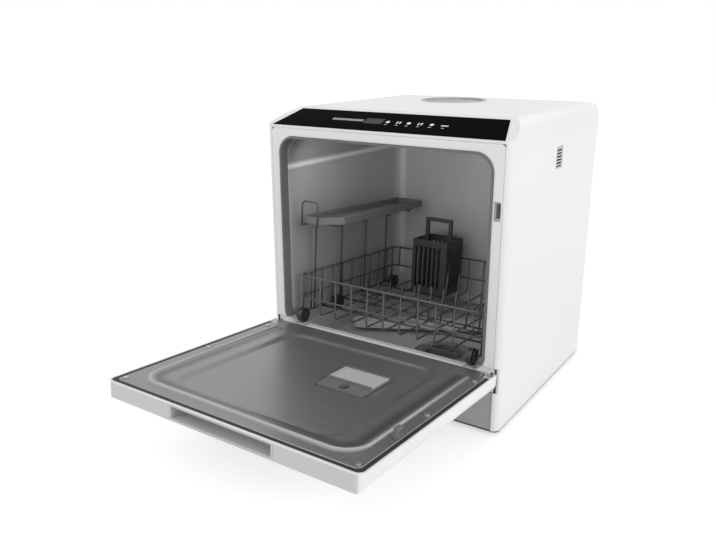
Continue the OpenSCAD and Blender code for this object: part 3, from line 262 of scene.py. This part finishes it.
M = {
    "white": plastic("white_enamel", (0.86, 0.86, 0.86), 0.32, grain=520, depth=0.05, tone=0.012,
                     edge=0.0012, coat=0.25),
    "door_white": plastic("door_white", (0.86, 0.86, 0.865), 0.30, grain=520, depth=0.05, tone=0.012,
                          edge=0.001, coat=0.3),
    "frame": plastic("frame_grey", (0.86, 0.86, 0.87), 0.42, grain=1100, depth=0.10, tone=0.02,
                     edge=0.0012),
    "kick": plastic("kick_grey", (0.42, 0.42, 0.43), 0.55, grain=900, depth=0.2, tone=0.05, edge=0.0008),
    "dark": plastic("dark_plastic", (0.035, 0.035, 0.037), 0.5, grain=800, depth=0.2, tone=0.12),
    "board": plastic("circuit_green", (0.02, 0.13, 0.06), 0.4, grain=260, depth=0.4, tone=0.25,
                     edge=0.0003),
    "grey": plastic("grey_plastic", (0.16, 0.165, 0.17), 0.48, grain=1000, depth=0.16, tone=0.06,
                    edge=0.0006),
    "handle": plastic("handle_grey", (0.55, 0.555, 0.565), 0.45, grain=1000, depth=0.16, tone=0.05,
                      edge=0.0008),
    "light": plastic("light_grey_plastic", (0.52, 0.525, 0.535), 0.42, grain=900, depth=0.12,
                     tone=0.04, edge=0.0006),
    "lid": plastic("lid_grey", (0.36, 0.363, 0.37), 0.42, grain=900, depth=0.12, tone=0.04, edge=0.0006),
    "milky": plastic("milky_plastic", (0.66, 0.70, 0.72), 0.38, grain=300, depth=0.15, tone=0.05),
    "lens": plastic("lamp_lens", (0.80, 0.80, 0.76), 0.2, grain=1500, depth=0.3, tone=0.03, coat=0.4),
    "glass": plastic("black_glass", (0.001, 0.001, 0.0012), 0.28, grain=300, depth=0.015, tone=0.3,
                     edge=0.0006, spec=0.004),
    "tub": metal("tub_steel", (0.50, 0.502, 0.508), 0.52, streak=(420, 420, 4), depth=0.015,
                 tone=0.06, edge=0.0015,
                 metallic=0.35, band=(8, 8, 0.5)),
    "liner": metal("liner_steel", (0.27, 0.272, 0.28), 0.33, streak=(3, 420, 420), depth=0.010,
                   tone=0.05, edge=0.0012,
                   metallic=0.65),
    "zinc": metal("zinc_plate", (0.55, 0.55, 0.56), 0.32, streak=(90, 90, 90), depth=0.15, tone=0.12),
    "motor": metal("motor_steel", (0.48, 0.48, 0.49), 0.4, streak=(4, 400, 400), depth=0.12),
    "brass": metal("heater_brass", (0.52, 0.38, 0.17), 0.35, streak=(4, 300, 300), depth=0.12),
    "back": plastic("back_panel", (0.55, 0.55, 0.55), 0.5, grain=700, depth=0.18, tone=0.04),
    "pan": plastic("base_paint", (0.06, 0.06, 0.062), 0.5, grain=500, depth=0.25, tone=0.12),
    "wire": plastic("coated_wire", (0.085, 0.085, 0.09), 0.38, grain=240, depth=0.3, tone=0.18,
                    edge=0.0),
    "rubber": rubber("black_rubber", (0.02, 0.02, 0.021)),
    "seal": rubber("seal_rubber", (0.028, 0.028, 0.03), 0.6),
    "gasket": rubber("gasket_rubber", (0.17, 0.172, 0.178), 0.6),
    "vent": plastic("vent_grey", (0.62, 0.62, 0.63), 0.5, grain=700, depth=0.15, tone=0.05, edge=0.0004),
    "catch": plastic("catch_grey", (0.55, 0.555, 0.56), 0.5, grain=800, depth=0.2, tone=0.08),
    "wheel": plastic("wheel_plastic", (0.03, 0.03, 0.032), 0.42, grain=600, depth=0.2, tone=0.15),
}
# The tub's crease: a real bump, with painted shade above it and a painted highlight on it.
CREASE_Z, CREASE_HALF = 0.345, 0.0085
crease_and_painted_light(M["tub"], CREASE_Z, CREASE_HALF, (0.36, 0.362, 0.368), (0.98, 0.98, 0.98))
# painted shade on the door's free end
painted_door_end_shade(M["door_white"], (0.60, 0.605, 0.61))
# painted highlight along the liner's ridge top and painted shade along its inner foot
painted_light_at_mark(M["liner"], "ridge_painted_highlight", (0.50, 0.50, 0.51))
painted_light_at_mark(M["liner"], "ridge_painted_shade", (0.10, 0.10, 0.105))
m, nt, b = new_mat("panel_marks")
cloudy(nt, b.inputs["Base Color"], 400, (0.50, 0.52, 0.54), (0.66, 0.68, 0.70))
cloudy(nt, b.inputs["Emission Color"], 300, (0.55, 0.57, 0.6), (0.8, 0.82, 0.85))
b.inputs["Emission Strength"].default_value = 0.35
b.inputs["Roughness"].default_value = 0.4
M["marks"] = m
m, nt, b = new_mat("panel_display")
cloudy(nt, b.inputs["Base Color"], 300, (0.10, 0.10, 0.11), (0.15, 0.15, 0.16))
cloudy(nt, b.inputs["Emission Color"], 200, (0.35, 0.36, 0.38), (0.5, 0.51, 0.53))
b.inputs["Emission Strength"].default_value = 0.22
b.inputs["Roughness"].default_value = 0.3
M["display"] = m
M["window"] = plastic("panel_window", (0.03, 0.024, 0.027), 0.3, grain=400, depth=0.02,
                      tone=0.15, spec=0.1)

NODE_MATS = {
    "casing": "white", "front_frame": "frame", "kick_plate": "kick", "base_pan": "pan",
    "feet": "rubber", "rear_cover": "back", "rear_screws": "zinc", "control_glass": "glass",
    "control_tray": "dark", "display_board": "board", "door_gasket": "gasket", "tub": "tub",
    "tub_lamp": "lens", "filler_bowl": "light", "water_tank": "milky", "sump": "dark",
    "filter_plate": "zinc", "spray_pedestal": "grey", "wash_pump": "dark", "wash_motor": "motor",
    "flow_heater": "brass", "drain_pump": "dark", "pump_hose": "rubber", "wash_hose": "rubber",
    "drain_hose": "rubber", "tank_hose": "rubber", "inlet_valve": "light", "water_inlet": "light",
    "drain_spigot": "dark", "cord_gland": "dark", "power_board": "board", "fan_housing": "dark",
    "vent_insert": "vent", "hinge_brackets": "zinc", "hinge_pins": "zinc", "latch_catch": "catch",
    "door_shell": "door_white", "door_liner": "liner", "door_seal": "seal", "door_handle": "handle",
    "hinge_arms": "zinc", "dispenser_cup": "grey", "latch_hook": "grey", "door_screws": "zinc",
    "dispenser_lid": "light", "rack_basket": "wire", "plate_tines": "wire",
    "axle_brackets": "wheel", "shelf_posts": "wire", "front_wheels": "wheel",
    "middle_wheels": "wheel", "rear_wheels": "wheel", "cup_shelf": "grey", "cutlery_basket": "dark",
    "spray_arm": "light", "filter_cup": "grey", "filler_lid": "lid", "float_cup": "light",
    "wash_rotor": "light", "fan_wheel": "dark",
}
for node_name, key in NODE_MATS.items():
    o = CAD[node_name]
    o.data.materials.clear()
    o.data.materials.append(M[key])


# ---------------------------------------------------------------- piece helpers
def add_mesh(name, verts, faces, mat, body, smooth=True):
    me = bpy.data.meshes.new(name)
    me.from_pydata([tuple(v) for v in verts], [], faces)
    me.update()
    o = bpy.data.objects.new(name, me)
    scene.collection.objects.link(o)
    me.materials.append(M[mat])
    if smooth:
        for p in me.polygons:
            p.use_smooth = True
    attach(o, body)
    return o


def add_wires(name, runs, radius, mat, body, extra=()):
    """Round wires through lists of points; extra holds (runs, radius) pairs of other gauges."""
    verts, faces = [], []
    for group, r in [(runs, radius), *extra]:
        for pts in group:
            tube(verts, faces, pts, r)
    return add_mesh(name, verts, faces, mat, body)


def tube(verts, faces, pts, r, sides=12):
    """Appends a round tube along pts, with capped ends, to verts and faces."""
    pts = [Vector(p) for p in pts]
    base = len(verts)
    up = None
    n = len(pts)
    for i, p in enumerate(pts):
        d = (pts[min(i + 1, n - 1)] - pts[max(i - 1, 0)]).normalized()
        if up is None:
            up = d.orthogonal().normalized()
        else:
            up = (up - d * up.dot(d)).normalized()
        side = d.cross(up)
        for k in range(sides):
            a = 2 * math.pi * k / sides
            verts.append(p + (up * math.cos(a) + side * math.sin(a)) * r)
    for i in range(n - 1):
        for k in range(sides):
            a, b2 = base + i * sides + k, base + i * sides + (k + 1) % sides
            faces.append((a, b2, b2 + sides, a + sides))
    faces.append(tuple(base + k for k in reversed(range(sides))))
    faces.append(tuple(base + (n - 1) * sides + k for k in range(sides)))


def rounded(points, r, steps=5, closed=False):
    """The path through points with its corners rounded to radius r."""
    pts = [Vector(p) for p in points]
    out = []
    n = len(pts)
    for i, p in enumerate(pts):
        if not closed and i in (0, n - 1):
            out.append(p)
            continue
        a, c = pts[i - 1], pts[(i + 1) % n]
        u, w = (a - p).normalized(), (c - p).normalized()
        cut = min(r, (a - p).length * 0.49, (c - p).length * 0.49)
        p0, p1 = p + u * cut, p + w * cut
        for s in range(steps + 1):
            t = s / steps
            out.append(p0 * (1 - t) ** 2 + p * 2 * t * (1 - t) + p1 * t * t)
    if closed:
        out.append(out[0].copy())
    return out


# ---------------------------------------------------------------- rack in round wire
WIRE, THIN = 3.6, 3.0
RX, RV, RL = 159.2, 16.0, 296.0
RE = RV + RL
RAIL, MID, LOW = 76.0, 76 * 0.53, 12.0
FLOOR = LOW + (WIRE + THIN) / 2 * math.cos(math.radians(22.5))
STEP = 29.6


def ring(h):
    loop = [(-RX, RV), (RX, RV), (RX, RE), (-RX, RE)]
    return rounded([track(x, v, h) for x, v in loop], 0.012, 6, closed=True)


heavy = [ring(RAIL)]
medium = [ring(MID)]
for x in (-RX, RX):
    heavy.append([track(x, RV - 1.4, LOW), track(x, RE + 1.4, LOW)])
thin = []
for i in range(1, 10):
    v = RV + i * STEP
    for x in (-RX, RX):
        thin.append([track(x, v, LOW), track(x, v, RAIL)])
for x in (-RX, RX):
    for v in (RV, RE):
        k = 9 if v == RV else -9
        thin.append([track(x, v + k, LOW), track(x, v + k, RAIL)])
for i in range(-4, 5):
    x = i * STEP
    path = [track(x, RV, RAIL), track(x, RV, FLOOR), track(x, RE, FLOOR), track(x, RE, RAIL)]
    thin.append(rounded(path, 0.006, 5))
for x in (-5 * STEP, 5 * STEP):
    for v in (RV, RE):
        thin.append([track(x, v, MID), track(x, v, RAIL)])
for i in range(1, 5):
    v = RV + i * 2 * STEP
    heavy.append([track(-RX, v, LOW), track(RX, v, LOW)])
rack = add_wires("rack_wires", heavy, WIRE / 2000, "wire", "rack",
                 extra=[(medium, 0.0016), (thin, 0.0014)])
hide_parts("rack_basket")

base_h = FLOOR + THIN * math.cos(math.radians(22.5))
low_x = 150 - 10
tines = []
for v in (RV + 84, RV + 184):
    tines.append([track(2, v, base_h), track(low_x, v, base_h)])
    for k in range(6):
        x = 10 + 22 * k
        tines.append([track(x, v, base_h), track(x, v + 5.2, 50), track(x, v + 7, RAIL - 4)])
tines.append([track(-128, RV + 134, base_h), track(-14, RV + 134, base_h)])
for k in range(5):
    x = -120 + 24 * k
    tines.append([track(x, RV + 134, base_h), track(x, RV + 138, RAIL - 24)])
tine_o = add_wires("rack_tines", tines, 0.00135, "wire", "rack")
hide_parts("plate_tines")

ROD_X, ROD_H, SHELF_H, SHELF_T = -RX + 6, 160.6, 163.4, 11
POST_X = -RX + (WIRE + THIN) / 2 * math.cos(math.radians(22.5))
ARM_H = ROD_H - 2 - THIN / 2 * 0.8
posts = []
for v in (RV + 35, RV + 109, RV + 184, RV + 254):
    tip = ROD_X + 58 - 12
    path = [track(POST_X, v, LOW), track(POST_X, v, ARM_H),
            track(tip, v, ARM_H), track(tip, v, SHELF_H - 0.3)]
    posts.append(rounded(path, 0.005, 5))
loop_v, loop_h = RV - 4 - 2.2, SHELF_H + SHELF_T + 24
hoop = rounded([track(ROD_X, loop_v, ROD_H), track(ROD_X, loop_v, loop_h),
                track(ROD_X + 30, loop_v, loop_h), track(ROD_X + 30, loop_v, SHELF_H - 3)], 0.008, 7)
rod = [track(ROD_X, loop_v, ROD_H), track(ROD_X, RV + 254 + 12, ROD_H)]
post_o = add_wires("shelf_wires", posts, 0.00145, "wire", "rack",
                   extra=[([hoop], 0.0015), ([rod], 0.002)])
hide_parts("shelf_posts")


# ---------------------------------------------------------------- door liner: one pressed sheet
DOOR_W, DOOR_LEN = 392.0, 334.0
LINER_W = DOOR_W - 2 * 2.2 - 2 * 6.3
LV0, LV1 = -DOOR_LEN + 2.2 + 6.3, -0.5 - 2.5


def rr_dist(x, y, x0, y0, x1, y1, r):
    """Distance to a rounded rectangle's edge, negative inside."""
    cx, cy, hx, hy = (x0 + x1) / 2, (y0 + y1) / 2, (x1 - x0) / 2, (y1 - y0) / 2
    dx, dy = abs(x - cx) - hx + r, abs(y - cy) - hy + r
    return math.hypot(max(dx, 0), max(dy, 0)) + min(max(dx, dy), 0) - r


def ease(t):
    t = min(1, max(0, t))
    return t * t * (3 - 2 * t)


def ridge_dist(x, v):
    return rr_dist(x, v, -167, -305.5, 167, 40, 32)


def liner_height(x, v):
    """Height of the pressed liner above the track, in millimetres."""
    h = 0.0
    d = rr_dist(x, v, -132, -294, 132, -36, 34)
    h -= 3.0 * ease(-d / 9)                         # shallow dished field
    h += 2.5 * math.exp(-(ridge_dist(x, v) / 2.8) ** 2) * ease((-28 - v) / 8)
    return h


hinge_in = (DOOR_W / 2 - 9.5) - 6.3 - 0.4
verts, faces, index, tops, feet = [], [], {}, [], []


def stations(cuts, steps):
    """Grid lines from cut to cut, each span in even steps of about the given length."""
    out = [cuts[0]]
    for a, b2, step in zip(cuts, cuts[1:], steps):
        n = max(1, round((b2 - a) / step))
        out += [a + (b2 - a) * k / n for k in range(1, n + 1)]
    return out


xs = stations([-LINER_W / 2, -134, 134, LINER_W / 2], [1.3, 4, 1.3])
vs = stations([LV0, -268, -42, LV1], [1.3, 4, 2])
nx, nv = len(xs) - 1, len(vs) - 1


def liner_kept(x, v):
    if rr_dist(x, v, -LINER_W / 2, LV0, LINER_W / 2, LV1, 8) > 0.4:
        return False
    if 19.6 < x < 90.4 and -175.4 < v < -105.6:
        return False
    if abs(x) > hinge_in and v > -19.8:
        return False
    if 179.6 < x < 185.4 and -248.2 < v < -235.4:
        return False
    return True


for j in range(nv):
    for i in range(nx):
        xm, vm = (xs[i] + xs[i + 1]) / 2, (vs[j] + vs[j + 1]) / 2
        if not liner_kept(xm, vm):
            continue
        quad = []
        for a, b2 in ((i, j), (i + 1, j), (i + 1, j + 1), (i, j + 1)):
            if (a, b2) not in index:
                index[(a, b2)] = len(verts)
                # per-point weights for the painted highlight on the ridge top and the painted shade at
                # its foot
                ridge, fading = ridge_dist(xs[a], vs[b2]), ease((-28 - vs[b2]) / 8)
                tops.append(math.exp(-(ridge / 2.6) ** 2) * fading)
                feet.append(0.75 * ease((-ridge - 4) / 5) * ease((ridge + 24) / 14) * fading)
                verts.append(track(xs[a], vs[b2], liner_height(xs[a], vs[b2])))
            quad.append(index[(a, b2)])
        faces.append(tuple(quad))
liner = add_mesh("liner_sheet", verts, faces, "liner", "door")
for mark, values in (("ridge_painted_highlight", tops), ("ridge_painted_shade", feet)):
    liner.data.attributes.new(mark, "FLOAT", "POINT").data.foreach_set("value", values)
so = liner.modifiers.new("thick", "SOLIDIFY")
so.thickness = 0.0022
so.offset = -1
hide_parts("door_liner")


# ---------------------------------------------------------------- marks on the control glass
SLOPE_FOOT, CASE_TOP, SLOPE_RUN = 411.6, 435, 63
SLOPE = math.atan((CASE_TOP - SLOPE_FOOT) / SLOPE_RUN)
MARK_FOOT, MARK_FACE = 0.42, 0.55    # above the glass, millimetres


def slope(x, s, w):
    return front(x, s * math.cos(SLOPE) - w * math.sin(SLOPE),
                 SLOPE_FOOT + s * math.sin(SLOPE) + w * math.cos(SLOPE))


def flat_marks(name, shapes, mat):
    verts, faces = [], []
    for pts in shapes:
        base = len(verts)
        lo = [slope(x, s, MARK_FOOT) for x, s in pts]
        hi = [slope(x, s, MARK_FACE) for x, s in pts]
        verts += lo + hi
        n = len(pts)
        faces.append(tuple(base + n + k for k in range(n)))
        for k in range(n):
            faces.append((base + k, base + (k + 1) % n, base + n + (k + 1) % n, base + n + k))
    return add_mesh(name, verts, faces, mat, "machine", smooth=False)


def disc(cx, cs, r, n=20):
    return [(cx + r * math.cos(2 * math.pi * k / n), cs + r * math.sin(2 * math.pi * k / n))
            for k in range(n)]


def bar(cx, cs, w, h):
    return [(cx - w / 2, cs - h / 2), (cx + w / 2, cs - h / 2),
            (cx + w / 2, cs + h / 2), (cx - w / 2, cs + h / 2)]


MARK_S = 30
marks = []
for k, x in enumerate((0, 18, 34, 52, 70, 90)):
    if k == 5:
        marks.append(bar(x, MARK_S - 1, 11, 2.6))
    elif k % 2 == 0:
        marks.append(disc(x, MARK_S, 3.2))
    else:
        marks += [bar(x - 2.3, MARK_S, 2.2, 6.4), bar(x + 2.3, MARK_S, 2.2, 6.4)]
    marks.append(bar(x, MARK_S - 8, 4.4, 1.0))
flat_marks("panel_marks", marks, "marks")
flat_marks("panel_display", [bar(-68, MARK_S, 54, 6)], "display")
flat_marks("panel_window", [bar(-23, MARK_S, 30, 16)], "window")


# ---------------------------------------------------------------- floor, backdrop and light
# Near and far; keeps the open floor white where it is seen, under its soft shadows.
FLOOR_LIFT = 0.52, 0.62


def seen(nt):
    """1 where the camera sees a point directly, in a reflection or through a clear thing; else 0."""
    path = nt.nodes.new("ShaderNodeLightPath")
    total = path.outputs["Is Camera Ray"]
    for kind in ("Is Glossy Ray", "Is Transmission Ray"):
        step = nt.nodes.new("ShaderNodeMath")
        step.operation = "MAXIMUM"
        nt.links.new(total, step.inputs[0])
        nt.links.new(path.outputs[kind], step.inputs[1])
        total = step.outputs[0]
    return total


def stage_plane(name, size, z):
    me = bpy.data.meshes.new(name)
    s = size / 2
    me.from_pydata([(-s, -s, z), (s, -s, z), (s, s, z), (-s, s, z)], [], [(0, 1, 2, 3)])
    o = bpy.data.objects.new(name, me)
    scene.collection.objects.link(o)
    return o


floor = stage_plane("floor", 14, 0.0)
m, nt, b = new_mat("pale_floor")
cloudy(nt, b.inputs["Base Color"], 3, (0.72, 0.72, 0.72), (0.74, 0.74, 0.74))
b.inputs["Roughness"].default_value = 0.8
b.inputs["Specular IOR Level"].default_value = 0.1
b.inputs["Emission Color"].default_value = (1, 1, 1, 1)
lift = nt.nodes.new("ShaderNodeMath")
lift.operation = "MULTIPLY"
reach = nt.nodes.new("ShaderNodeVectorMath")
reach.operation = "LENGTH"
nt.links.new(coords(nt), reach.inputs[0])
fade = nt.nodes.new("ShaderNodeMapRange")
fade.interpolation_type = "SMOOTHSTEP"
fade.inputs["From Min"].default_value, fade.inputs["From Max"].default_value = 0.5, 2.6
fade.inputs["To Min"].default_value, fade.inputs["To Max"].default_value = FLOOR_LIFT
nt.links.new(reach.outputs["Value"], fade.inputs["Value"])
nt.links.new(seen(nt), lift.inputs[0])
nt.links.new(fade.outputs["Result"], lift.inputs[1])
nt.links.new(lift.outputs[0], b.inputs["Emission Strength"])
floor.data.materials.append(m)

world = bpy.data.worlds.new("studio")
scene.world = world
world.use_nodes = True
wn = world.node_tree
wn.nodes.clear()
out = wn.nodes.new("ShaderNodeOutputWorld")
bg = wn.nodes.new("ShaderNodeBackground")
white = wn.nodes.new("ShaderNodeBackground")
mixw = wn.nodes.new("ShaderNodeMixShader")
bg.inputs["Color"].default_value = (0.96, 0.98, 1.0, 1)
bg.inputs["Strength"].default_value = 0.58
white.inputs["Color"].default_value = (1, 1, 1, 1)
white.inputs["Strength"].default_value = 1.0
wn.links.new(seen(wn), mixw.inputs[0])
wn.links.new(bg.outputs[0], mixw.inputs[1])
wn.links.new(white.outputs[0], mixw.inputs[2])
wn.links.new(mixw.outputs[0], out.inputs["Surface"])


def area(name, loc, aim, size, power):
    d = bpy.data.lights.new(name, "AREA")
    d.shape = "RECTANGLE"
    d.size, d.size_y = size
    d.energy = power
    o = bpy.data.objects.new(name, d)
    o.location = loc
    o.rotation_euler = (Vector(aim) - Vector(loc)).to_track_quat("-Z", "Y").to_euler()
    o.visible_camera = False
    scene.collection.objects.link(o)


area("key", (-1.3, -1.9, 2.1), (0, 0, 0.2), (1.8, 1.4), 13)
area("front", (0.5, -2.8, 0.8), (0, 0.1, 0.25), (1.8, 1.2), 9)
area("side", (2.6, -0.4, 1.2), (0.1, 0, 0.25), (1.6, 1.4), 26)
area("back", (0.3, 2.4, 2.0), (0, 0, 0.3), (1.6, 1.0), 6.5)
area("tub_lamp_glow", front(0, 40, 385), front(0, 250, 200), (0.28, 0.04), 0.22)
